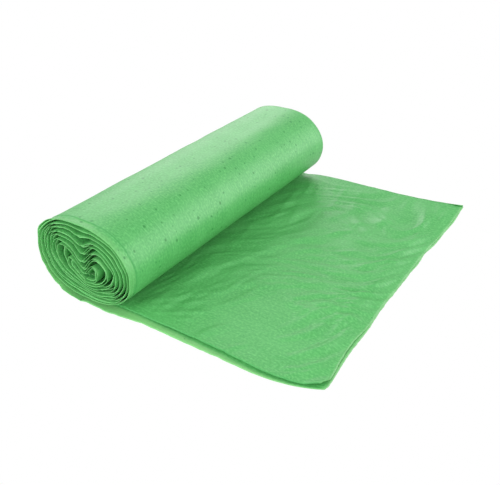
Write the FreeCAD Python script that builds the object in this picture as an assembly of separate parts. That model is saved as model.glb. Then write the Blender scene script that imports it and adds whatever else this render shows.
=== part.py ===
import FreeCAD, Part
import math
import os

# Roll of bin bags made of one folded film strip, partly unrolled, in millimetres.
# The roll's axis is along Y with its near end at -Y, the loose tail lies toward +X,
# and z = 0 is the surface it rests on. The origin is under the roll's middle.

# Roll
ROLL_W = 71.4         # width across the squashed roll
ROLL_H = 51.2         # height of the squashed roll
ROLL_X = 0.6          # roll's middle across
LENGTH = 215.0        # folded width of the strip, which is the roll's length
LIP = 5.5             # how far the outer leaf stands past the inner one at the near end
END_GAP = 3.0         # how deep the clearance between the turns shows at the far end
FLAT = 8.0            # straight stretch on the underside, where the soft roll rests
TURNS = 8             # turns of the strip
FAR_TURNS = 4         # turns that part at the far end
GAP = 0.4             # clearance from one turn to the next
HOLLOW = 0.6          # half height of the hollow that the first turn leaves
BASE_E = 3.0          # half height of the oval that the turns are wound around
CORE_SCALE = 0.35     # how much narrower the innermost turn's oval is
CORE_START = 14.0     # depth at which the ovals begin to narrow

# Strip
LEAF = 0.5            # thickness of one leaf of the tail
SLIT = 0.3            # clearance between the tail's two leaves
LEAF_SHARE = 0.4      # outer leaf's share of the strip's thickness

# Dent that folds the inner turns down from the top
DENT_SPARE = 0.477    # least share of their height that it leaves the turns under it
DENT_EVEN = 0.7       # share of the squeeze that is even over the height
DENT_X = -1.0         # place across
DENT_LEAN = 2.0       # how far it leans to the right toward the underside
DENT_LEFT = 10.0      # reach to the left
DENT_RIGHT = 6.5      # reach to the right
SPREAD_LEFT = 0.6     # how much wider the reach to the left becomes toward the underside
SPREAD_RIGHT = 1.6    # how much wider the reach to the right becomes
DENT_RISE = 7.0       # height of its deepest point over the roll's middle
DENT_FLOOR = 4.0      # height over the underside up to which the turns are not dented
DENT_ROOF = 0.6       # depth under the top down to which the turns are not dented
DENT_SHARP = 1.7      # exponent of the dent's profile
TILT = -0.22          # slope that the middle turns take to the right
TILT_FADE = 1.5       # exponent with which that slope fades toward the outside

# Tail
TAIL_START = 24.0     # where the tail's leaves part
TAIL_X = 143.2        # middle of the torn end
TEAR_NEAR = 147.6     # torn end at the near edge
TEAR_FAR = 146.8      # torn end at the far edge
NEAR_DRAW = 1.4       # how far the near edge draws in along the tail
CORNER_DRAW = 7.5     # how far the near edge draws in more toward the torn end
CORNER_X = 112.0      # where that starts
LIP_FADE = 0.86       # share of the lip that is lost at the torn end
NEAR_LIFT = 1.3       # most that the upper leaf's near edge stands off the lower one
LIFT_SKEW = 1.35      # how far that is from the middle, toward the torn end
NEAR_REACH = 46.0     # how far in from the edge the two leaves lie together
FAR_LIFT = 3.2        # how far the folded edge stands off the surface along the tail
CORNER_LIFT = 4.2     # how far the folded edge rises more at the torn end
FAR_REACH = 52.0      # how far in from the fold the tail lies flat
FOLD_BEVEL = 0.4      # bevel that rounds the fold's edge
STATIONS = 7          # sections that the tail is drawn through
SPARE = 4.0           # length that is trimmed off at the tear
UNDER = 1.0           # how far the trimming starts under the tail
DRAW_EASE = 4         # exponent with which the near edge draws in
FAR_EASE = 10         # exponent with which the folded edge rises from the roll
LIFT_EASE = 4         # exponent with which the far corner rises

# Hollows that the crumpled middle turns leave: place across and height from the roll's
# middle, how much wider the turns open there, and how far out that reaches
HOLLOWS = (
    (-18.1, 1.4, 0.9, 4.2),
    (7.9, -6.6, 0.8, 2.8),
    (12.2, -8.4, 0.8, 2.6),
    (0.9, 15.4, 0.5, 3.0),
)

# Arcs for each stretch of a turn, closer together where it bends most
SIDE_ARCS = 7
FLAT_ARCS = 1
CROWDING = 0.14
STRAIGHT = 1e-4       # bend under which an arc is drawn as a line, as a share of its length
STEEPEST = 1.5        # steepest slope of the smooth step

TAIL_T = 2 * LEAF + SLIT
BASE_R = ROLL_H / 2 - BASE_E
BASE_A = ROLL_W / 2 - BASE_R - FLAT / 2
FIRST_PITCH = TAIL_T + GAP
PITCH = (BASE_R - HOLLOW + GAP - FIRST_PITCH) / TURNS
NEAR_Y = -LENGTH / 2
FAR_Y = LENGTH / 2


def smooth(u):
    u = min(max(u, 0.0), 1.0)
    return u * u * (3 - 2 * u)


def depth(wind):
    # Depth of the strip's outside after so many turns: thin tail, then an even pitch
    if wind < 1:
        start = 2 * FIRST_PITCH - PITCH
        return start * wind + (PITCH - start) * wind * wind / 2
    return FIRST_PITCH + PITCH * (wind - 1)


def outside(wind):
    return depth(wind)


def inside(wind):
    return depth(wind + 1) - GAP


def between(wind):
    return outside(wind) + LEAF_SHARE * (inside(wind) - outside(wind))


def next_outside(wind):
    return depth(wind + 1)


def opened(x, z):
    # Spreads the turns around each hollow
    for hollow_x, hollow_z, gain, reach in HOLLOWS:
        u = x - ROLL_X - hollow_x
        v = z - ROLL_H / 2 - hollow_z
        spread = 1 + gain * math.exp(-(u * u + v * v) / reach ** 2)
        x = ROLL_X + hollow_x + u * spread
        z = ROLL_H / 2 + hollow_z + v * spread
    return x, z


def dented(x, z):
    # Folds the round turns down into the dent and tips the middle ones
    deepest = ROLL_H / 2 + DENT_RISE
    roof = ROLL_H - DENT_ROOF
    level = min(max((z - DENT_FLOOR) / (deepest - DENT_FLOOR), 0.0), 1.0)
    u = x - ROLL_X - DENT_X - DENT_LEAN * (1 - level)
    if u < 0:
        reach = DENT_LEFT * (1 + SPREAD_LEFT * (1 - level))
    else:
        reach = DENT_RIGHT * (1 + SPREAD_RIGHT * (1 - level))
    across = math.exp(-abs(u / reach) ** DENT_SHARP)
    if z < deepest:
        down = DENT_EVEN * level + (1 - DENT_EVEN) * smooth(level)
    else:
        down = smooth((roof - z) / (roof - deepest))
    r2 = (2 * (x - ROLL_X) / ROLL_W) ** 2 + (2 * z / ROLL_H - 1) ** 2
    middle = max(0.0, 1 - r2) ** TILT_FADE
    steepest = DENT_EVEN + (1 - DENT_EVEN) * STEEPEST
    dent = (1 - DENT_SPARE) * (deepest - DENT_FLOOR) / steepest
    return opened(x, z - dent * across * down + TILT * (x - ROLL_X) * middle)


def turn_point(wind, inset, side):
    # Point of a turn, from the underside up the left side and clockwise
    angle = -math.pi / 2 - 2 * math.pi * wind
    c = math.cos(angle)
    s = math.sin(angle)
    scale = 1 - (1 - CORE_SCALE) * smooth((inset - CORE_START) / (BASE_R - HOLLOW - CORE_START))
    oval = scale / math.hypot(BASE_A * c, BASE_E * s)
    x = (BASE_R - inset) * c + oval * BASE_A ** 2 * c + side * scale * FLAT / 2
    z = (BASE_R - inset) * s + oval * BASE_E ** 2 * s
    return dented(ROLL_X + x, ROLL_H / 2 + z)


def turn_points(inset_at, first, last):
    # Half turns joined by the straight stretches at the top and the underside
    points = []
    for half in range(2 * first, 2 * last):
        side = 1 if half % 2 else -1
        for i in range(2 * SIDE_ARCS):
            share = i / (2 * SIDE_ARCS)
            wind = (half + share - CROWDING * math.sin(2 * math.pi * share)) / 2
            points.append(turn_point(wind, inset_at(wind), side))
        if half < 2 * last - 1:
            wind = (half + 1) / 2
            for i in range(2 * FLAT_ARCS):
                across = side * (1 - i / FLAT_ARCS)
                points.append(turn_point(wind, inset_at(wind), across))
    points.append(turn_point(last, inset_at(last), 1))
    return [FreeCAD.Vector(x, 0, z) for x, z in points]


def bend(a, b, c):
    # Edge from a to c through b, straight where they are in line
    if (b - a).cross(c - a).Length < STRAIGHT * (c - a).Length:
        return Part.LineSegment(a, c).toShape()
    return Part.Arc(a, b, c).toShape()


def bends(points):
    return [bend(points[i], points[i + 1], points[i + 2]) for i in range(0, len(points) - 1, 2)]


def curve(a, b, c):
    # Edge that leaves a toward b and comes to c from b
    made = Part.BezierCurve()
    made.setPoles([a, b, c])
    return made.toShape()


def run(*points):
    return Part.makePolygon(points).Edges


def slab(edges, y, length):
    face = Part.Face(Part.Wire(edges))
    face.translate(FreeCAD.Vector(0, y, 0))
    return face.extrude(FreeCAD.Vector(0, length, 0))


def pressed_roll():
    # The pressed turns as one body, with the strip's straight run under them
    rim = turn_points(outside, 0, 1)
    low = FreeCAD.Vector(TAIL_START, 0, 0)
    high = FreeCAD.Vector(TAIL_START, 0, TAIL_T)
    nip = FreeCAD.Vector(rim[-1].x, 0, TAIL_T)
    return slab(run(low, rim[0]) + bends(rim) + run(rim[-1], nip, high, low), NEAR_Y, LENGTH)


def hollow():
    # Space inside the first turn, along the whole roll
    rim = turn_points(inside, TURNS - 1, TURNS)
    return slab(bends(rim) + run(rim[-1], rim[0]), NEAR_Y - LIP, LENGTH + 2 * LIP)


def groove(outer_at, inner_at, turns, y, length):
    # Wound groove between two depths, open over the strip's straight run
    outer = turn_points(outer_at, 0, turns)
    inner = turn_points(inner_at, 0, turns)
    tail_outer = FreeCAD.Vector(TAIL_START, 0, outer[0].z)
    tail_inner = FreeCAD.Vector(TAIL_START, 0, inner[0].z)
    edges = run(tail_outer, outer[0]) + bends(outer) + run(outer[-1], inner[-1])
    edges += bends(inner[::-1]) + run(inner[0], tail_inner, tail_outer)
    return slab(edges, y, length)


def wound_strip():
    # The outer leaf stands past the inner one at the near end, and the turns part at the far end
    roll = pressed_roll().cut(hollow())
    roll = roll.cut(groove(between, next_outside, TURNS, NEAR_Y - LIP, 2 * LIP))
    return roll.cut(groove(inside, next_outside, FAR_TURNS, FAR_Y - END_GAP, 2 * END_GAP))


def tail_section(x):
    # Lower leaf, fold at the far edge and upper leaf, which part toward the near edge
    along = (x - TAIL_START) / (TAIL_X - TAIL_START)
    corner = max(0.0, (x - CORNER_X) / (TAIL_X - CORNER_X))
    near = NEAR_Y + NEAR_DRAW * (1 - (1 - along) ** DRAW_EASE) + CORNER_DRAW * corner ** 2
    lift = NEAR_LIFT * math.sin(math.pi * min(along, 1.0) ** LIFT_SKEW) ** 2
    rise = FAR_LIFT * (1 - (1 - along) ** FAR_EASE) + CORNER_LIFT * along ** LIFT_EASE
    upper = near + LIP * (1 - LIP_FADE * along)
    landed = upper + NEAR_REACH
    fold = FAR_Y - TAIL_T / 2
    leaves = fold - FAR_REACH

    def at(y, z):
        return FreeCAD.Vector(x, y, z)

    def far_curve(z):
        return curve(at(leaves, z), at((leaves + fold) / 2, z), at(fold, z + rise))

    def near_curve(z):
        return curve(at(landed, z), at((landed + upper) / 2, z), at(upper, z + lift))

    under = run(at(near, 0), at(landed, 0), at(leaves, 0)) + [far_curve(0)]
    bevel = run(at(fold, rise), at(FAR_Y, rise + FOLD_BEVEL),
                at(FAR_Y, rise + TAIL_T - FOLD_BEVEL), at(fold, rise + TAIL_T))
    top = [far_curve(TAIL_T)] + run(at(leaves, TAIL_T), at(landed, TAIL_T)) + [near_curve(TAIL_T)]
    slit = run(at(upper, TAIL_T + lift), at(upper, TAIL_T - LEAF + lift)) + [near_curve(TAIL_T - LEAF)]
    slit += run(at(landed, TAIL_T - LEAF), at(landed, LEAF), at(near, LEAF), at(near, 0))
    return Part.Wire(under + bevel + top + slit)


def tear():
    # Everything past the torn end, which runs in two gentle bends
    near = FreeCAD.Vector(TEAR_NEAR, NEAR_Y, -UNDER)
    near_mid = FreeCAD.Vector(TAIL_X + (TEAR_NEAR - TAIL_X) / 4, NEAR_Y / 2, -UNDER)
    middle = FreeCAD.Vector(TAIL_X, 0, -UNDER)
    far = FreeCAD.Vector(TEAR_FAR, FAR_Y + LIP, -UNDER)
    far_mid = FreeCAD.Vector(TAIL_X + (TEAR_FAR - TAIL_X) / 4, (FAR_Y + LIP) / 2, -UNDER)
    past_far = FreeCAD.Vector(TEAR_NEAR + 2 * SPARE, FAR_Y + LIP, -UNDER)
    past_near = FreeCAD.Vector(TEAR_NEAR + 2 * SPARE, NEAR_Y, -UNDER)
    edges = bends([near, near_mid, middle, far_mid, far]) + run(far, past_far, past_near, near)
    return Part.Face(Part.Wire(edges)).extrude(FreeCAD.Vector(0, 0, ROLL_H))


def tail():
    length = TEAR_NEAR + SPARE - TAIL_START
    sections = [tail_section(TAIL_START + length * i / (STATIONS - 1)) for i in range(STATIONS)]
    return Part.makeLoft(sections, True, False).cut(tear())


os.makedirs("parts", exist_ok=True)
roll = wound_strip().fuse(tail()).removeSplitter()
print("valid:", roll.isValid(), "solids:", len(roll.Solids), "volume:", round(roll.Volume))
roll.Solids[0].exportStep("parts/bag_roll.step")
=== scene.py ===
import math

import bpy
import numpy as np
from mathutils import Euler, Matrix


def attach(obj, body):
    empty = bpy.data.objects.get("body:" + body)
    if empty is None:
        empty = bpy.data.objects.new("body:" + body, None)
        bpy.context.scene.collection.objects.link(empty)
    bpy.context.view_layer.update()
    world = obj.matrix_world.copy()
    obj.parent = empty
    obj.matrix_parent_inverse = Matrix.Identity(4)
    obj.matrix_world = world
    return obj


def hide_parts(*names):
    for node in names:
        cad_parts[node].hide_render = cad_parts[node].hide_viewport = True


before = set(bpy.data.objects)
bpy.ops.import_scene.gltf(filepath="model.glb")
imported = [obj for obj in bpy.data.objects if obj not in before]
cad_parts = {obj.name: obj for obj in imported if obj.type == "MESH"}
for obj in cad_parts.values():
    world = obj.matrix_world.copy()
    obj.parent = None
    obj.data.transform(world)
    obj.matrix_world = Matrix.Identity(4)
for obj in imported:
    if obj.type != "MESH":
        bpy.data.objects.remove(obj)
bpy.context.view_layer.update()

# All sizes are in millimetres up to the meshes, which are written in metres. The strip's
# length s is measured from where it leaves the surface under the roll, and is negative
# along the tail.
MM = 0.001

# Roll, as in the part's solid
ROLL_W = 71.4         # width across the squashed roll
ROLL_H = 51.2         # height of the squashed roll
ROLL_X = 0.6          # roll's middle across
LENGTH = 215.0        # folded width of the strip, which is the roll's length
LIP = 5.5             # how far the outer leaf stands past the inner one at the near end
FLAT = 8.0            # straight stretch on the underside
TURNS = 8             # turns of the strip
GAP = 0.4             # clearance from one turn to the next
HOLLOW = 0.6          # half height of the hollow that the innermost turn leaves
BASE_E = 3.0          # half height of the oval that the turns are wound around
CORE_SCALE = 0.35     # how much narrower the innermost turn's oval is
CORE_START = 14.0     # depth at which the ovals begin to narrow
LEAF = 0.5            # thickness of one leaf of the tail's solid
SLIT = 0.3            # clearance between the tail's leaves

# Dent that folds the inner turns down from the top
DENT_SPARE = 0.477    # least share of their height that it leaves the turns under it
DENT_EVEN = 0.7       # share of the squeeze that is even over the height
DENT_X = -1.0         # place across
DENT_LEAN = 2.0       # how far it leans to the right toward the underside
DENT_LEFT = 10.0      # reach to the left
DENT_RIGHT = 6.5      # reach to the right
SPREAD_LEFT = 0.6     # how much wider the reach to the left becomes toward the underside
SPREAD_RIGHT = 1.6    # how much wider the reach to the right becomes
DENT_RISE = 7.0       # height of its deepest point over the roll's middle
DENT_FLOOR = 4.0      # height over the underside up to which the turns are not dented
DENT_ROOF = 0.6       # depth under the top down to which the turns are not dented
DENT_SHARP = 1.7      # exponent of the dent's profile
STEEPEST = 1.5        # steepest slope of the smooth step
TILT = -0.22          # slope that the middle turns take to the right
TILT_FADE = 1.5       # exponent with which that slope fades toward the outside
CRUMPLE = 0.55        # how far the inner turns wander
CRUMPLE_SIZE = 7.0    # length over which they do

# Hollows of the crumpled middle turns: place across and height from the roll's middle,
# how much wider the turns open there, and how far out that reaches
HOLLOWS = (
    (-18.1, 1.4, 0.9, 4.2),
    (7.9, -6.6, 0.8, 2.8),
    (12.2, -8.4, 0.8, 2.6),
    (0.9, 15.4, 0.5, 3.0),
)

# Tail, as in the part's solid
TAIL_START = 24.0     # where the tail's leaves part
TAIL_X = 143.2        # middle of the torn end
TEAR_NEAR = 147.6     # torn end at the near edge
TEAR_FAR = 146.8      # torn end at the far edge
NEAR_DRAW = 1.4       # how far the near edge draws in along the tail
CORNER_DRAW = 7.5     # how far the near edge draws in more toward the torn end
CORNER_X = 112.0      # where that starts
LIP_FADE = 0.86       # share of the lip that is lost at the torn end
NEAR_LIFT = 1.3       # most that the upper leaf's near edge stands off the lower one
LIFT_SKEW = 1.35      # how far that is from the middle, toward the torn end
NEAR_REACH = 46.0     # how far in from the edge the two leaves lie together
FAR_LIFT = 3.2        # how far the folded edge stands off the surface along the tail
CORNER_LIFT = 4.2     # how far the folded edge rises more at the torn end
FAR_REACH = 52.0      # how far in from the fold the tail lies flat
DRAW_EASE = 4         # exponent with which the near edge draws in
FAR_EASE = 10         # exponent with which the folded edge rises from the roll
LIFT_EASE = 4         # exponent with which the far corner rises

TAIL_T = 2 * LEAF + SLIT
BASE_R = ROLL_H / 2 - BASE_E
BASE_A = ROLL_W / 2 - BASE_R - FLAT / 2
FIRST_PITCH = TAIL_T + GAP
PITCH = (BASE_R - HOLLOW + GAP - FIRST_PITCH) / TURNS
NEAR_Y = -LENGTH / 2
FAR_Y = LENGTH / 2
FOLD_Y = FAR_Y - TAIL_T / 2
TAIL_LEFT = ROLL_X - FLAT / 2

# Film, as it is drawn
FILM = 0.34           # thickness of a leaf
PLIES = 1.15          # thickness of the plies between a turn's outer and inner leaf
PLIES_SHARE = 0.47    # their place in the strip's thickness
PLIES_BACK = 1.7      # how far their near edge stands back
PLIES_START = 0.3     # share of the outermost turn after which they start
THICKEST = 0.54       # most of the strip's thickness that one piece takes
OUTER, BETWEEN, INNER = 0, 1, 2     # lanes: the outer leaf, the plies and the inner leaf

# Mesh
ARC_POINTS = 90       # places that measure the curve of each half turn
STRAIGHT_POINTS = 8   # places that measure the straight stretch after it
ROLL_STEP = 1.5       # step over the roll
TAIL_STEP = 1.15      # step over the tail
END_STEP = 0.8        # step along the turns that show at the end
END_ROWS = (0, 0.3, 0.8, 1.5, 2.4, 3.4, 4.4, 4.9, 5.3, 5.7, 6.2, 7.2, 9, 11, 14, 18, 24)
DEEP_ROWS = (45.0, 100.0, 190.0)    # rows past those, where the turns hide them

# Humps along the strip: height, place, reach and exponent, for where the
LIP_SAGS = ((2.5, -2.0, 32.0, 4), (0.9, 38.0, 14.0, 2))     # lip sags past the near end,
LIP_TURNS = ((0.8, 16.0, 12.0, 2), (2.7, 63.0, 10.0, 2))    # lip turns outward,
LIP_RAGGED = ((0.7, -4.0, 38.0, 2),)                        # lip's edge is ragged,
# the lip's paleness is partly painted light
LIP_LIGHT = ((0.4, 20.0, 30.0, 2),)                          # lip is paler, and
INNER_SLIPS = ((3.2, 42.0, 26.0, 2),)                       # plies and inner leaf slip out

# Humps along the torn end, in the same form
TEAR_SWAYS = ((0.8, -53.0, 14.0, 2), (0.7, -4.0, 14.0, 2), (-0.9, 46.0, 20.0, 2))
UPPER_CUT = ((1.2, NEAR_Y + 38.0, 20.0, 2),)                # upper leaf is torn shorter

# Unevenness of the outermost turn: height, lengths along and across the strip, and place
# in the noise
ROLL_RELIEF = (
    (0.22, 34.0, 70.0, 0, 0),
    (0.27, 11.0, 52.0, 30, 30),
    (0.22, 8.0, 15.0, 15, 50),
    (0.03, 4.5, 5.0, 70, 70),
)
RELIEF_SUNK = 0.12    # how far all of it is pressed in
RELIEF_LOW = -0.1     # height under which it flattens out
RELIEF_GIVE = 0.22    # most that it lies under that
LIP_STEP = 0.3        # how far the lip lies lower, where no inner leaf is under it

# Tail's relief
RISE_SHARE = 0.96     # share of the solid's rise at the fold that the leaves take
LOWER_RELIEF = 0.25   # share of the relief that the lower leaf takes
UPPER_RELIEF = 0.9    # share that the upper leaf takes
MOUTH = 2.0           # how far the upper leaf's near corner is lifted
MOUTH_REACH = 9.0     # how far in that reaches
SOFTNESS = 1.35       # how much the film's stiffness widens the creases

# Creases of the tail's upper leaf: line, width to the left and right of it, and height
CREASES = (
    (((25, -96), (31, -72), (41, -45), (52, -20), (62, 2), (74, 22), (94, 46)), 6.5, 2.2, 1.5),
    (((25, -99), (36, -86), (48, -72), (58, -62), (67, -48)), 1.9, 1.2, 0.8),
    (((29, -100), (42, -88), (54, -76), (66, -66)), 1.4, 1.0, 0.6),
    (((33, -101), (48, -92), (60, -83), (73, -76)), 1.5, 1.1, 0.7),
    (((40, -102), (54, -94), (66, -88), (82, -77)), 1.3, 1.0, 0.5),
    (((45, -84), (57, -67), (62, -57), (64, -40)), 1.4, 1.0, 0.5),
    (((59, -58), (64, -46), (65, -34), (70, -20)), 1.2, 0.9, 0.55),
    (((65, -54), (72, -40), (79, -30), (86, -24)), 1.7, 1.1, 0.6),
    (((70, -48), (78, -36), (90, -29), (104, -22)), 2.6, 1.6, 0.4),
    (((62, -22), (70, -5), (80, 9), (97, 24)), 2.6, 1.8, 0.45),
    (((74, 0), (82, 9), (93, 13), (106, 20), (119, 19)), 1.8, 1.1, 0.5),
    (((86, 7), (97, 14), (110, 22), (123, 25)), 1.2, 0.9, 0.4),
    (((104, 8), (112, 11), (117, 17)), 1.1, 0.9, 0.5),
    (((114, 2), (123, 13), (128, 21), (138, 26)), 1.5, 1.0, 1.0),
    (((128, 22), (131, 8), (130, -10), (129, -34), (127, -62)), 3.2, 2.2, 0.55),
    (((136, 0), (134, -28), (131, -54), (126, -78)), 1.5, 1.2, 0.5),
    (((126, -36), (124, -54), (120, -72)), 1.3, 1.0, 0.35),
    (((138, -24), (137, -46), (134, -66)), 1.3, 1.1, 0.4),
    (((118, -100), (130, -92), (137, -84), (142, -75)), 1.3, 0.9, 0.65),
    (((125, -100), (134, -93), (140, -86), (145, -77)), 1.1, 0.8, 0.6),
    (((131, -99), (138, -92), (143, -86), (147, -78)), 0.9, 0.8, 0.5),
    (((112, -95), (125, -84), (133, -74), (138, -62)), 1.7, 1.3, 0.4),
    (((70, 42), (76, 60), (84, 76), (87, 94)), 4.5, 3.0, 0.8),
    (((84, 44), (94, 56), (104, 62), (114, 74)), 3.8, 2.6, 0.65),
    (((94, 36), (103, 48), (106, 68), (99, 92)), 3.0, 2.2, 0.4),
    (((79, 27), (86, 36), (95, 43)), 1.6, 1.1, 0.6),
    (((60, 107), (62, 92), (64, 76), (67, 58)), 1.7, 1.2, 0.45),
    (((51, 107), (55, 91), (61, 74)), 1.7, 1.2, 0.4),
    (((72, 104), (76, 84), (81, 66)), 2.4, 1.6, 0.45),
    (((123, 96), (127, 82), (131, 70), (131, 48)), 2.0, 1.4, 0.5),
    (((108, 62), (113, 53), (118, 43)), 1.4, 1.1, 0.4),
    (((112, 106), (120, 92), (126, 84)), 2.0, 1.5, 0.35),
    (((26, 107), (34, 95), (38, 80), (40, 62)), 2.2, 1.5, 0.8),
    (((34, 106), (42, 91), (47, 77), (53, 64)), 2.2, 1.4, 0.7),
    (((30, 86), (34, 61), (38, 40), (41, 20)), 2.6, 1.8, 0.7),
    (((28, 30), (33, 6), (36, -16), (41, -34)), 2.2, 1.6, 0.5),
    (((43, 62), (48, 46), (52, 30), (59, 18)), 2.0, 1.5, 0.4),
    (((58, 60), (61, 46), (62, 32)), 1.2, 1.0, 0.4),
    (((36, -8), (46, -2), (52, 6)), 1.5, 1.2, 0.35),
    (((36, 8), (44, 14), (56, 22)), 1.8, 1.4, 0.35),
)

# Film's colours, from the ground up
DARK = (0.062, 0.385, 0.086, 1)
LIGHT = (0.097, 0.455, 0.122, 1)
MOTTLE = (0.140, 0.55, 0.160, 1)
GRAIN = (0.155, 0.58, 0.178, 1)
LINE = (0.040, 0.36, 0.075, 1)
# Painted shade: the film down in the grooves at the roll's end
PAINTED_GROOVE_SHADE = (0.012, 0.26, 0.035, 1)
# Paler colour of the thin single film, partly painted light on the rims, the lip and the torn
# edges
THIN_AND_PAINTED_LIGHT = (0.30, 0.72, 0.27, 1)
# Painted shadow: thin dark lines at the lip's step and under the upper leaf's near edge
PAINTED_SEAM_SHADOW = (0.035, 0.33, 0.07, 1)
SPECK = (0.015, 0.25, 0.04, 1)

# Camera
FOCAL = 47.885        # for a sensor 36 mm wide
SENSOR = 36.0
CAMERA_AT = (246.567, -313.155, 225.408)
CAMERA_DOWN = 31.23   # degrees
CAMERA_ROUND = 33.40  # degrees

# Lamps, in metres and watts: place, size, power and what they point at
LAMPS = {
    "back_right": ((0.74, 0.72, 0.39), (0.75, 0.76), 8.5, (0, 0, 0.03)),
    "back_left": ((-0.66, 0.78, 0.44), (0.66, 0.56), 4.3, (0, 0, 0.03)),
    "overhead": ((-0.10, -0.15, 1.0), (0.9, 0.9), 1.8, (0, 0, 0.03)),
    "front": ((-0.28, -0.94, 0.34), (1.3, 0.64), 12.4, (0, -0.1, 0.02)),
    "side": ((0.74, -0.60, 0.38), (0.5, 0.4), 3.0, (0, 0, 0.03)),
}
WORLD_LIGHT = 0.43    # world's strength where it isn't seen or mirrored
FLOOR_GREY = 0.85
FLOOR_SIZE = 3.0      # metres from its middle to its edge


def smooth(u):
    u = np.clip(u, 0.0, 1.0)
    return u * u * (3 - 2 * u)


def humps(u, rows):
    return sum(height * np.exp(-((u - place) / reach) ** power)
               for height, place, reach, power in rows)


class Noise:
    """Smooth random field of two coordinates, from -1 to 1."""

    SIZE = 128

    def __init__(self, seed):
        self.grid = np.random.default_rng(seed).uniform(-1, 1, (self.SIZE, self.SIZE))

    def __call__(self, u, v):
        u, v = np.broadcast_arrays(np.asarray(u, float), np.asarray(v, float))
        i = np.floor(u).astype(int)
        j = np.floor(v).astype(int)
        a = smooth(u - i)
        b = smooth(v - j)
        g = self.grid
        i0, i1 = i % self.SIZE, (i + 1) % self.SIZE
        j0, j1 = j % self.SIZE, (j + 1) % self.SIZE
        low = g[i0, j0] * (1 - a) + g[i1, j0] * a
        high = g[i0, j1] * (1 - a) + g[i1, j1] * a
        return low * (1 - b) + high * b


# What is added to a noise's coordinates below only picks another place of it
crumple_x = Noise(11)
crumple_z = Noise(12)
edge_noise = Noise(21)
flare_noise = Noise(22)
relief_noise = Noise(23)
crease_noise = Noise(24)
tear_noise = Noise(25)


# Winding


def depth(wind):
    # Depth of the strip's outside after so many turns: thin tail, then an even pitch
    start = 2 * FIRST_PITCH - PITCH
    first = start * wind + (PITCH - start) * wind * wind / 2
    return np.where(wind < 1, first, FIRST_PITCH + PITCH * (wind - 1))


def strip_thickness(wind):
    return depth(wind + 1) - GAP - depth(wind)


def dented(x, z):
    # Folds the round turns down into the dent, tips and crumples the middle ones, and
    # spreads them around each hollow
    deepest = ROLL_H / 2 + DENT_RISE
    roof = ROLL_H - DENT_ROOF
    level = np.clip((z - DENT_FLOOR) / (deepest - DENT_FLOOR), 0, 1)
    u = x - ROLL_X - DENT_X - DENT_LEAN * (1 - level)
    left = DENT_LEFT * (1 + SPREAD_LEFT * (1 - level))
    right = DENT_RIGHT * (1 + SPREAD_RIGHT * (1 - level))
    across = np.exp(-np.abs(u / np.where(u < 0, left, right)) ** DENT_SHARP)
    below = DENT_EVEN * level + (1 - DENT_EVEN) * smooth(level)
    above = smooth((roof - z) / (roof - deepest))
    down = np.where(z < deepest, below, above)
    r2 = (2 * (x - ROLL_X) / ROLL_W) ** 2 + (2 * z / ROLL_H - 1) ** 2
    middle = np.clip(1 - r2, 0, 1)
    steepest = DENT_EVEN + (1 - DENT_EVEN) * STEEPEST
    dent = (1 - DENT_SPARE) * (deepest - DENT_FLOOR) / steepest
    z = z - dent * across * down + TILT * (x - ROLL_X) * middle ** TILT_FADE
    fade = smooth(middle * 2.5) * CRUMPLE
    x, z = (x + fade * crumple_x(x / CRUMPLE_SIZE, z / CRUMPLE_SIZE),
            z + fade * crumple_z(x / CRUMPLE_SIZE, z / CRUMPLE_SIZE))
    for hollow_x, hollow_z, gain, reach in HOLLOWS:
        u = x - ROLL_X - hollow_x
        v = z - ROLL_H / 2 - hollow_z
        grow = gain * np.exp(-(u * u + v * v) / reach ** 2)
        x, z = x + u * grow, z + v * grow
    return x, z


def turn_xz(wind, inset, side):
    # Point of a turn, from the underside up the left side and clockwise
    angle = -math.pi / 2 - 2 * math.pi * wind
    c = np.cos(angle)
    s = np.sin(angle)
    narrowed = smooth((inset - CORE_START) / (BASE_R - HOLLOW - CORE_START))
    scale = 1 - (1 - CORE_SCALE) * narrowed
    oval = scale / np.hypot(BASE_A * c, BASE_E * s)
    x = (BASE_R - inset) * c + oval * BASE_A ** 2 * c + side * scale * FLAT / 2
    z = (BASE_R - inset) * s + oval * BASE_E ** 2 * s
    x, z = dented(ROLL_X + x, ROLL_H / 2 + z)
    return np.stack([x, z], -1)


def winding():
    # Length along the strip, with the wind and side at each place
    winds = []
    sides = []
    for half in range(2 * TURNS):
        side = 1 if half % 2 else -1
        winds.append((half + np.linspace(0, 1, ARC_POINTS)) / 2)
        sides.append(np.full(ARC_POINTS, side, float))
        winds.append(np.full(STRAIGHT_POINTS, (half + 1) / 2))
        sides.append(np.linspace(side, -side, STRAIGHT_POINTS))
    wind = np.concatenate(winds)
    side = np.concatenate(sides)
    middle = turn_xz(wind, depth(wind) + strip_thickness(wind) / 2, side)
    step = np.hypot(*np.diff(middle, axis=0).T)
    return np.concatenate([[0], np.cumsum(step)]), wind, side


LENGTHS, WINDS, SIDES = winding()
ROLL_LENGTH = LENGTHS[-1]
FIRST_TURN = np.interp(1.0, WINDS, LENGTHS)


def leaf_line(s, share, thick):
    # Middle, outward direction, thickness and squeeze of a leaf at lengths s, where share is
    # its place in the strip's thickness
    wind = np.interp(s, LENGTHS, WINDS)
    side = np.interp(s, LENGTHS, SIDES)
    whole = strip_thickness(wind)
    thick = np.minimum(thick, THICKEST * whole)
    centre = depth(wind) + thick / 2 + share * (whole - thick)
    outer = turn_xz(wind, centre - thick / 2, side)
    inner = turn_xz(wind, centre + thick / 2, side)
    across = outer - inner
    width = np.hypot(across[:, 0], across[:, 1])
    normal = across / np.maximum(width, 1e-6)[:, None]
    return (outer + inner) / 2, normal, np.minimum(width, thick), np.minimum(width / thick, 1)


# Meshes


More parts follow.
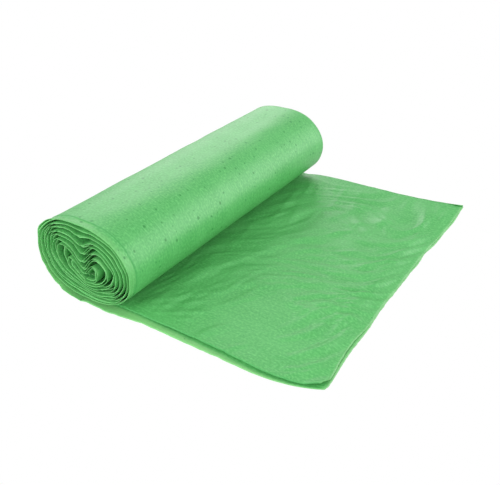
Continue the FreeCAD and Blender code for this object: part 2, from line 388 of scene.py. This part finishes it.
def grid_mesh(name, front, back, film, shades):
    # Closed thin sheet from two grids of points, with a map of its length and width and
    # named shades from 0 to 1
    n, m = front.shape[:2]
    count = n * m
    index = np.arange(count).reshape(n, m)
    corners = [index[:-1, :-1], index[1:, :-1], index[1:, 1:], index[:-1, 1:]]
    quads = np.stack(corners, -1).reshape(-1, 4)
    rim = np.concatenate([index[:, 0], index[-1, 1:], index[-2::-1, -1], index[0, -2:0:-1]])
    following = np.roll(rim, -1)
    rims = np.stack([rim, rim + count, following + count, following], -1)
    faces = np.concatenate([quads, quads[:, ::-1] + count, rims])
    points = np.concatenate([front.reshape(-1, 3), back.reshape(-1, 3)]) * MM

    mesh = bpy.data.meshes.new(name)
    mesh.vertices.add(len(points))
    mesh.vertices.foreach_set("co", points.ravel())
    mesh.loops.add(faces.size)
    mesh.loops.foreach_set("vertex_index", faces.ravel())
    mesh.polygons.add(len(faces))
    mesh.polygons.foreach_set("loop_start", np.arange(0, faces.size, 4))
    mesh.polygons.foreach_set("use_smooth", np.arange(len(faces)) < 2 * len(quads))
    mesh.update(calc_edges=True)
    mesh.validate()

    layer = mesh.uv_layers.new(name="film")
    both = np.tile(film.reshape(-1, 2), (2, 1)) * MM
    layer.data.foreach_set("uv", both[faces.ravel()].ravel())
    for shade, values in shades.items():
        made = mesh.attributes.new(shade, "FLOAT", "POINT")
        made.data.foreach_set("value", np.tile(values.ravel(), 2))

    piece = bpy.data.objects.new(name, mesh)
    bpy.context.scene.collection.objects.link(piece)
    return piece


def rows_between(near, far, step):
    count = max(2, int(round((far - near) / step)) + 1)
    return np.linspace(near, far, count)


# Roll


def near_edge(s, lane, back):
    # Where a leaf's near edge lies along the strip, with the small unevenness of real winding
    wander = (0.5 * edge_noise(s / 26.0 + 40 * lane, lane * 7.3)
              + 0.25 * edge_noise(s / 5.0, lane * 3.1 + 50))
    calm = (0.25 + 0.75 * smooth((s + 30) / 60)) * (1 + 0.25 * back)
    edge = NEAR_Y + back + 0.3 + wander * calm
    if lane == OUTER:
        ragged = humps(s, LIP_RAGGED) * edge_noise(s / 3.6, 77.0)
        return edge - humps(s, LIP_SAGS) + ragged
    return edge - humps(s, INNER_SLIPS)


def wound_rows(s, lane, back, deep_rows):
    # Near and far edge of a wound leaf and its rows between them, which lie close together
    # at the near end, where they show
    near = near_edge(s, lane, back)
    far = FAR_Y + 0.2 + 0.25 * edge_noise(s / 17.0, lane * 5.7 + 9)
    offsets = np.concatenate([END_ROWS, deep_rows])
    total = offsets[-1]
    stretch = np.clip((offsets - END_ROWS[-1]) / (total - END_ROWS[-1]), 0, 1)
    y = near[:, None] + offsets + stretch * (far - near - total)[:, None]
    return near, far, y


def over_lip(y):
    # 1 on the lip, past the inner leaf's near edge, and 0 further in
    return smooth((NEAR_Y + LIP - y) / 0.6)


def roll_relief(s, y):
    # Low unevenness of the outermost turn, mostly pressed in. Low places flatten out above
    # the plies that lie under this turn
    height = sum(tall * relief_noise(s / along + u, y / across + v)
                 for tall, along, across, u, v in ROLL_RELIEF) - RELIEF_SUNK
    flattened = RELIEF_LOW + RELIEF_GIVE * np.tanh((height - RELIEF_LOW) / RELIEF_GIVE)
    return np.where(height < RELIEF_LOW, flattened, height)


def wound_push(s, y, lane, from_edge, inside, raised, squeeze):
    # How far a leaf stands off its place in the strip: inner turns flare and lie loose, the
    # outermost one has its relief, and its lip lies lower and turns outward
    flare = flare_noise(s / 6.0 + 0.2 * lane, y / 30.0) * np.exp(-from_edge / 3.5)
    loose = flare_noise(s / 13.0 + 31, y / 25.0 + 60)
    push = inside * (0.75 * flare + 0.2 * loose) * squeeze
    if lane != OUTER:
        return push
    wave = 0.8 + 0.5 * flare_noise(s / 9.0, 90.0)
    turned = humps(s, LIP_TURNS) * np.exp(-from_edge / 4.0) * wave
    outermost = roll_relief(s, y) - LIP_STEP * over_lip(y) + turned
    return push + outermost * (1 - inside) * raised


def wound_shades(s, y, lane, from_edge, inside):
    # Painted light and shade: rims paler where their edges catch light, painted shade on the film
    # down in the grooves, and on the outer leaf a paler lip, partly thin film and partly painted
    # light, with a painted shadow line where the inner leaf ends under it
    # Painted light: the rims of the turns are paler where their edges catch light, unevenly along
    # them
    uneven_rim_light = 0.75 + 0.35 * flare_noise(s / 7.0 + 50 * lane, 33.0)
    # Painted shade on the film down in the grooves between the turns, on the inner turns only
    groove_shade_mask = 0.4 * smooth((from_edge - 0.8) / 3.0) + 0.6 * smooth((from_edge - 5.0) / 5.0)
    shades = {"thin_and_painted_light": 0.5 * uneven_rim_light * smooth(1 - from_edge / 2.4),
              "painted_groove_shade": inside * groove_shade_mask * smooth((45.0 - from_edge) / 15.0)}
    if lane == OUTER:
        # The lip is paler: partly the thin single film, partly painted light over the shade it
        # lies in
        lip = (0.3 + humps(s, LIP_LIGHT)) * over_lip(y) * (1 - 0.7 * inside)
        shades["thin_and_painted_light"] = np.maximum(lip, shades["thin_and_painted_light"])
        # Painted shadow line where the inner leaf ends under the outer one, at the small step
        # there
        shades["painted_seam_shadow"] = np.exp(-((y - NEAR_Y - LIP) / 0.45) ** 2) * (1 - inside)
    return shades


def wound_leaf(name, lane, share, thick, back, s, deep_rows):
    near, far, y = wound_rows(s, lane, back, deep_rows)
    middle, normal, width, squeeze = leaf_line(s, share, thick)
    inside = smooth(np.interp(s, LENGTHS, WINDS) * 1.5 - 1.2)[:, None]
    raised = smooth((middle[:, 1] - 0.4) / 5.0)[:, None]
    from_edge = y - near[:, None]
    column = s[:, None]
    push = wound_push(column, y, lane, from_edge, inside, raised, squeeze[:, None])
    centre = middle[:, None, :] + normal[:, None, :] * push[:, :, None]
    half = (normal * width[:, None] / 2)[:, None, :]
    taper = (0.35 + 0.65 * smooth(from_edge / (0.3 + thick)))[:, :, None]

    def points(side):
        xz = centre + side * half * taper
        return np.stack([xz[..., 0], y, xz[..., 1]], -1)

    film = np.stack([np.broadcast_to(column, y.shape), y], -1)
    shades = wound_shades(column, y, lane, from_edge, inside)
    piece = grid_mesh(name, points(1), points(-1), film, shades)
    strip = float(np.hypot(*np.diff(middle, axis=0).T).sum())
    return piece, (float(np.mean(far - near)) * MM, strip * MM)


# Tail


def crease(x, y, line, left, right, height):
    # Soft ridge along a line of points, with a width to its left and to its right, fading at
    # both ends
    points = np.array(line, float)
    steps = np.diff(points, axis=0)
    lengths = np.hypot(steps[:, 0], steps[:, 1])
    starts = np.concatenate([[0], np.cumsum(lengths)])
    nearest = np.full(x.shape, np.inf)
    aside = np.zeros(x.shape)
    along = np.zeros(x.shape)
    for (px, py), (sx, sy), length, start in zip(points, steps, lengths, starts):
        t = np.clip(((x - px) * sx + (y - py) * sy) / length ** 2, 0, 1)
        u = x - px - t * sx
        v = y - py - t * sy
        gap = np.hypot(u, v)
        closer = gap < nearest
        side = np.sign(sx * v - sy * u)
        nearest = np.where(closer, gap, nearest)
        aside = np.where(closer, side * gap, aside)
        along = np.where(closer, (start + t * length) / starts[-1], along)
    width = np.where(aside > 0, left, right) * SOFTNESS
    fade = smooth(along / 0.3) * smooth((1 - along) / 0.3)
    return height * fade * np.exp(-(aside / width) ** 2)


def tail_relief(x, y):
    # Creases that fan over the tail from the roll and the slack between them
    lean = 0.9 + 0.5 * crease_noise(x / 60.0 + 5, y / 60.0 + 5)
    u = x * np.sin(lean) - y * np.cos(lean)
    v = x * np.cos(lean) + y * np.sin(lean)
    broad = crease_noise(x / 30.0, y / 42.0)
    slack = crease_noise(u / 6.5 + 20, v / 30.0 + 20)
    fine = crease_noise(u / 2.6 + 60, v / 11.0 + 60)
    height = 0.7 + 1.0 * broad + 1.05 * slack + 0.5 * fine
    for line, left, right, tall in CREASES:
        height = height + crease(x, y, line, left, right, tall)
    calm = 0.15 + 0.85 * smooth((FAR_Y - y) / 20.0)
    grow = 0.7 + 0.6 * smooth((x - 50.0) / 50.0)
    clear_of_roll = smooth((x - 14.0) / 16.0)
    return np.clip(height * grow * calm, 0, None) * clear_of_roll


def tail_along(x):
    return (x - TAIL_START) / (TAIL_X - TAIL_START)


def tail_near(x):
    along = tail_along(x)
    start = np.where(along > 0, 1 - (1 - along) ** DRAW_EASE, 0)
    corner = np.clip((x - CORNER_X) / (TAIL_X - CORNER_X), 0, None)
    return NEAR_Y + NEAR_DRAW * start + CORNER_DRAW * corner ** 2


def upper_near(x):
    # Near edge of the upper leaf, which comes closer to the lower one toward the torn end
    return tail_near(x) + LIP * (1 - LIP_FADE * np.clip(tail_along(x), 0, None))


def lower_near(x):
    # Near edge of the lower leaf, which slips out a little where the upper one lifts off it
    return tail_near(x) - 0.6 * smooth((x - 40.0) / 25.0)


def tail_lifts(x, y, edge):
    # How far a place is lifted by the upper leaf's open near edge and by the folded edge
    along = np.clip(tail_along(x), 0, None)
    near = NEAR_LIFT * np.sin(math.pi * np.minimum(along, 1.0) ** LIFT_SKEW) ** 2
    far = FAR_LIFT * (1 - np.abs(1 - along) ** FAR_EASE) + CORNER_LIFT * along ** LIFT_EASE
    curl = np.clip(1 - (y - edge) / NEAR_REACH, 0, 1) ** 2 * near
    rise = np.clip((y - FOLD_Y + FAR_REACH) / FAR_REACH, 0, 1) ** 2 * far * RISE_SHARE
    return curl, rise


def tear_at(y, leaf):
    # Torn end of the lower leaf, 0, and of the upper one, 1, with the small unevenness that
    # the perforation leaves
    reach = np.where(y < 0, -y / LENGTH * 2, y / (FAR_Y + LIP))
    end = np.where(y < 0, TEAR_NEAR, TEAR_FAR)
    bend = TAIL_X + (end - TAIL_X) * np.clip(reach, 0, 1.1) ** 2
    teeth = 0.13 * tear_noise(y / 1.7, 3.0 + leaf)
    waves = 0.45 * tear_noise(y / 15.0, 8.0 + 1.6 * leaf)
    return bend + teeth + waves + humps(y, TEAR_SWAYS) + 0.2 - 0.9 * leaf


def tail_grid(upper, columns, rows):
    # Places of a leaf's grid from under the roll to the tear and from its near edge to the
    # fold, with the near edge and the torn end at each. The near corner is cut back
    share, row = np.meshgrid(columns, rows, indexing="ij")
    across = row * LENGTH
    if upper:
        end = tear_at(NEAR_Y + across, 1) - 2.6 * smooth(1 - across / 6.5)
        end = end - humps(NEAR_Y + across, UPPER_CUT)
    else:
        end = tear_at(NEAR_Y + across, 0) - 1.0 * smooth(1 - across / 3.5)
    x = TAIL_LEFT + share * (end - TAIL_LEFT)
    wander = near_edge(TAIL_LEFT - x, INNER if upper else OUTER, 0) - NEAR_Y
    edge = wander + (upper_near(x) if upper else lower_near(x))
    return x, edge + row * (FOLD_Y - edge), edge, end


def lower_height(x, y, edge):
    curl, rise = tail_lifts(x, y, edge)
    lifted = 0.75 * curl * smooth((y - edge) / 6.5)
    return FILM / 2 + rise + LOWER_RELIEF * tail_relief(x, y) + lifted


def upper_height(x, y, edge, end):
    # The leaf is calmer toward its edges, lies close to the lower one where it leaves the
    # roll and along the tear, and is lifted at its near corner
    curl, rise = tail_lifts(x, y, edge)
    calm = (0.35 + 0.65 * smooth((y - edge) / 14.0)) * (0.3 + 0.7 * smooth((end - x) / 12.0))
    mouth = (MOUTH * smooth((x - end + MOUTH_REACH) / MOUTH_REACH)
             * smooth((edge + MOUTH_REACH - y) / MOUTH_REACH))
    pressed = 0.5 * smooth(1 - (y - edge) / 9.0) * smooth((58.0 - x) / 24.0)
    closed = smooth(1 - (end - x) / 12.0) * smooth((y - edge - 5.0) / 12.0)
    pressed = pressed + (0.3 + 0.3 * smooth((y + 62.0) / 20.0)) * closed
    relief = UPPER_RELIEF * tail_relief(x, y) * calm
    return TAIL_T - FILM / 2 + curl + rise + relief + mouth - pressed


def lower_shades(x, y, end):
    # Paler where only this leaf shows, along the tear and past the upper leaf's edge: partly the
    # thin single film, partly painted light, which is weaker close to the roll
    torn = 0.9 * smooth(1 - (end - x) / 2.4)
    lip_light_share = 0.6 + 0.4 * smooth((x - TAIL_LEFT) / 45.0)
    return {"thin_and_painted_light": np.maximum(lip_light_share * smooth((upper_near(x) - y) / 1.5), torn)}


def upper_shades(x, y, edge, end):
    # Painted light along the torn end, and a painted shadow line along the near edge that also
    # dims its highlight
    return {"thin_and_painted_light": 0.5 * smooth(1 - (end - x) / 1.6), "painted_seam_shadow": smooth(1.3 - (y - edge) / 0.6)}


def tail_leaf(name, upper, columns, rows):
    x, y, edge, end = tail_grid(upper, columns, rows)
    z = upper_height(x, y, edge, end) if upper else lower_height(x, y, edge)
    shades = upper_shades(x, y, edge, end) if upper else lower_shades(x, y, end)
    from_edge = np.minimum(y - edge, end - x)
    half = FILM / 2 * (0.3 + 0.7 * smooth(from_edge / 1.2))
    front = np.stack([x, y, z + half], -1)
    back = np.stack([x, y, z - half], -1)
    film = np.stack([TAIL_LEFT - x, y], -1)
    piece = grid_mesh(name, front, back, film, shades)
    cut = float(np.mean((end - TAIL_LEFT) * (FOLD_Y - edge)))
    return piece, (LENGTH * MM, (TEAR_NEAR - TAIL_LEFT) * MM), cut * MM ** 2


def fold_strip(name, columns):
    # Rounded fold that joins the tail's two leaves along the far edge
    turn = np.linspace(-math.pi / 2, math.pi / 2, 9)
    share, angle = np.meshgrid(columns, turn, indexing="ij")
    x = TAIL_LEFT + share * (tear_at(np.full_like(share, FAR_Y), 0.5) - TAIL_LEFT)
    rise = tail_lifts(x, FOLD_Y, NEAR_Y)[1]
    relief = tail_relief(x, np.full_like(x, FOLD_Y))
    low = FILM / 2 + LOWER_RELIEF * relief
    high = TAIL_T - FILM / 2 + UPPER_RELIEF * relief

    def points(side):
        r = (high - low) / 2 + side * FILM / 2
        z = (low + high) / 2 + rise + r * np.sin(angle)
        y = FOLD_Y - 0.02 + (TAIL_T / 2 - FILM / 2 + side * FILM / 2) * np.cos(angle)
        return np.stack([x, y, z], -1)

    film = np.stack([TAIL_LEFT - x, FAR_Y + angle], -1)
    return grid_mesh(name, points(1), points(-1), film, {})


# Materials


def node(tree, kind, inputs=None, **settings):
    made = tree.nodes.new(kind)
    for key, value in settings.items():
        setattr(made, key, value)
    for key, value in (inputs or {}).items():
        if isinstance(value, bpy.types.NodeSocket):
            tree.links.new(value, made.inputs[key])
        else:
            made.inputs[key].default_value = value
    return made


def math_node(tree, operation, a, b=0.0, clamp=False):
    made = node(tree, "ShaderNodeMath", {0: a, 1: b}, operation=operation)
    made.use_clamp = clamp
    return made.outputs[0]


def times(tree, a, b, clamp=False):
    return math_node(tree, "MULTIPLY", a, b, clamp)


def above(tree, value, least, gain):
    # How far a value lies over the least one, times the gain
    return times(tree, math_node(tree, "SUBTRACT", value, least, True), gain)


def mix_colour(tree, factor, a, b):
    made = node(tree, "ShaderNodeMix", data_type="RGBA")
    for key, value in (("Factor", factor), ("A", a), ("B", b)):
        socket = [i for i in made.inputs if i.name == key and i.enabled][0]
        if isinstance(value, bpy.types.NodeSocket):
            tree.links.new(value, socket)
        else:
            socket.default_value = value
    return [o for o in made.outputs if o.enabled][0]


def film_noise(tree, film, across, along, detail, place=0.0):
    # Noise stretched along the strip: sizes in metres across and along it
    scaled = node(tree, "ShaderNodeMapping", {
        "Vector": film, "Location": (place, place, 0), "Scale": (1 / along, 1 / across, 1)})
    made = node(tree, "ShaderNodeTexNoise", {
        "Vector": scaled.outputs[0], "Scale": 1.0, "Detail": detail})
    return made.outputs["Fac"]


def film_specks(tree, film):
    # A speck in some cells of a scattered grid, in more of them on the roll than on the tail
    spaced = node(tree, "ShaderNodeMapping", {"Vector": film, "Scale": (240, 270, 1)})
    cells = node(tree, "ShaderNodeTexVoronoi", {
        "Vector": spaced.outputs[0], "Scale": 1.0, "Randomness": 1.0}, voronoi_dimensions="2D")
    chance = node(tree, "ShaderNodeSeparateColor", {0: cells.outputs["Color"]})
    place = node(tree, "ShaderNodeSeparateXYZ", {0: film})
    on_roll = math_node(tree, "GREATER_THAN", place.outputs[0], 0.0)
    least = math_node(tree, "SUBTRACT", 0.76, times(tree, on_roll, 0.24))
    uneven = math_node(tree, "ADD", chance.outputs[1], 0.3)
    size = times(tree, above(tree, chance.outputs[0], least, uneven), 0.52)
    inside = math_node(tree, "SUBTRACT", size, cells.outputs["Distance"])
    return times(tree, inside, 9.0, True)


def film_material():
    material = bpy.data.materials.new("satin_film")
    material.use_nodes = True
    tree = material.node_tree
    tree.nodes.clear()
    film = node(tree, "ShaderNodeUVMap", uv_map="film").outputs[0]
    thin_and_painted_light, painted_seam_shadow, painted_groove_shade = (node(tree, "ShaderNodeAttribute", attribute_name=name).outputs["Fac"]
                          for name in ("thin_and_painted_light", "painted_seam_shadow", "painted_groove_shade"))
    lines = film_noise(tree, film, 0.0006, 0.05, 3.0)
    cloud = film_noise(tree, film, 0.018, 0.03, 3.0, 4.0)
    mottle = film_noise(tree, film, 0.0022, 0.0045, 2.0, 9.0)
    grain = film_noise(tree, film, 0.0011, 0.0016, 1.0, 15.0)

    colour = DARK
    for factor, over in (
            (above(tree, cloud, 0.3, 2.5), LIGHT),
            (times(tree, mottle, 0.4), MOTTLE),
            (above(tree, grain, 0.40, 2.8), GRAIN),
            (above(tree, lines, 0.45, 1.3), LINE),
            # painted shade in the grooves
            (painted_groove_shade, PAINTED_GROOVE_SHADE),
            # paler thin film, partly painted light
            (times(tree, thin_and_painted_light, 0.8), THIN_AND_PAINTED_LIGHT),
            # painted shadow lines
            (times(tree, painted_seam_shadow, 0.6), PAINTED_SEAM_SHADOW),
            (times(tree, film_specks(tree, film), 0.8), SPECK)):
        colour = mix_colour(tree, factor, colour, over)

    rough = math_node(tree, "ADD", times(tree, mottle, 0.12), 0.40)
    ripple = math_node(tree, "ADD", times(tree, lines, 0.5), times(tree, mottle, 0.8))
    bump = node(tree, "ShaderNodeBump", {"Height": ripple, "Strength": 0.5, "Distance": 0.0002})
    surface = node(tree, "ShaderNodeBsdfPrincipled", {
        "Base Color": colour, "Roughness": rough, "Specular IOR Level": 0.55,
        "Normal": bump.outputs[0]})
    glow = node(tree, "ShaderNodeBsdfTranslucent", {"Color": colour, "Normal": bump.outputs[0]})
    through = math_node(tree, "ADD", times(tree, thin_and_painted_light, 0.12), 0.22)
    mixed = node(tree, "ShaderNodeMixShader", {
        0: through, 1: surface.outputs[0], 2: glow.outputs[0]})
    output = node(tree, "ShaderNodeOutputMaterial")
    tree.links.new(mixed.outputs[0], output.inputs["Surface"])
    return material


# Pieces


def build_pieces():
    fine = np.arange(END_ROWS[-1] + ROLL_STEP, LENGTH - LIP, ROLL_STEP)
    outermost = rows_between(0.0, FIRST_TURN + 6.0, ROLL_STEP)
    within = rows_between(FIRST_TURN, ROLL_LENGTH, END_STEP)
    plies = rows_between(FIRST_TURN * PLIES_START, ROLL_LENGTH, END_STEP)
    whole = rows_between(0.0, ROLL_LENGTH, END_STEP)
    wound = [
        wound_leaf("roll_outer_turn", OUTER, 0.0, FILM, 0.0, outermost, fine),
        wound_leaf("roll_outer_leaf", OUTER, 0.0, FILM, 0.0, within, DEEP_ROWS),
        wound_leaf("roll_plies", BETWEEN, PLIES_SHARE, PLIES, PLIES_BACK, plies, DEEP_ROWS),
        wound_leaf("roll_inner_leaf", INNER, 1.0, FILM, LIP, whole, DEEP_ROWS),
    ]

    columns = rows_between(0.0, 1.0, TAIL_STEP / (TAIL_X - TAIL_LEFT))
    rows = rows_between(0.0, 1.0, TAIL_STEP / LENGTH)
    fold = fold_strip("tail_fold", columns)
    lower, flat, area = tail_leaf("tail_lower_leaf", False, columns, rows)
    upper, flat, area = tail_leaf("tail_upper_leaf", True, columns, rows)
    return [piece for piece, _ in wound] + [lower, upper, fold]


# Light, floor and camera


def area_light(name, at, size, power, aim):
    light = bpy.data.lights.new(name, "AREA")
    light.shape = "RECTANGLE"
    light.size, light.size_y = size
    light.energy = power
    lamp = bpy.data.objects.new(name, light)
    lamp.location = at
    direction = np.array(aim) - np.array(at)
    yaw = math.atan2(direction[1], direction[0])
    pitch = math.atan2(direction[2], math.hypot(direction[0], direction[1]))
    lamp.rotation_euler = Euler((math.pi / 2 + pitch, 0, yaw - math.pi / 2))
    bpy.context.scene.collection.objects.link(lamp)


def seen_or_mirrored(tree):
    path = node(tree, "ShaderNodeLightPath")
    return math_node(tree, "MAXIMUM", path.outputs["Is Camera Ray"], path.outputs["Is Glossy Ray"])


def studio():
    scene = bpy.context.scene
    scene.view_settings.view_transform = "Standard"
    world = bpy.data.worlds.new("studio")
    world.use_nodes = True
    scene.world = world
    tree = world.node_tree
    tree.nodes.clear()
    shown = times(tree, seen_or_mirrored(tree), 1 - WORLD_LIGHT)
    strength = math_node(tree, "ADD", shown, WORLD_LIGHT)
    sky = node(tree, "ShaderNodeBackground", {"Color": (1, 1, 1, 1), "Strength": strength})
    output = node(tree, "ShaderNodeOutputWorld")
    tree.links.new(sky.outputs[0], output.inputs["Surface"])
    for name, settings in LAMPS.items():
        area_light(name, *settings)


def floor_material():
    material = bpy.data.materials.new("pale_floor")
    material.use_nodes = True
    tree = material.node_tree
    tree.nodes.clear()
    grey = (FLOOR_GREY, FLOOR_GREY, FLOOR_GREY, 1)
    matte = node(tree, "ShaderNodeBsdfDiffuse", {"Color": grey})
    white = node(tree, "ShaderNodeEmission", {"Color": (1, 1, 1, 1), "Strength": 1.0})
    shown = seen_or_mirrored(tree)
    mixed = node(tree, "ShaderNodeMixShader", {0: shown, 1: matte.outputs[0], 2: white.outputs[0]})
    output = node(tree, "ShaderNodeOutputMaterial")
    tree.links.new(mixed.outputs[0], output.inputs["Surface"])
    return material


def floor():
    size = FLOOR_SIZE
    mesh = bpy.data.meshes.new("floor")
    corners = [(-size, -size, 0), (size, -size, 0), (size, size, 0), (-size, size, 0)]
    mesh.from_pydata(corners, [], [(0, 1, 2, 3)])
    plane = bpy.data.objects.new("floor", mesh)
    plane.data.materials.append(floor_material())
    bpy.context.scene.collection.objects.link(plane)


def camera():
    data = bpy.data.cameras.new("camera")
    data.lens = FOCAL
    data.sensor_width = SENSOR
    eye = bpy.data.objects.new("camera", data)
    eye.location = [v * MM for v in CAMERA_AT]
    eye.rotation_euler = Euler((math.radians(90 - CAMERA_DOWN), 0, math.radians(CAMERA_ROUND)))
    bpy.context.scene.collection.objects.link(eye)
    bpy.context.scene.camera = eye


camera()
studio()
floor()
satin = film_material()
for piece in build_pieces():
    piece.data.materials.append(satin)
    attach(piece, "root")
    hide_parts("bag_roll")
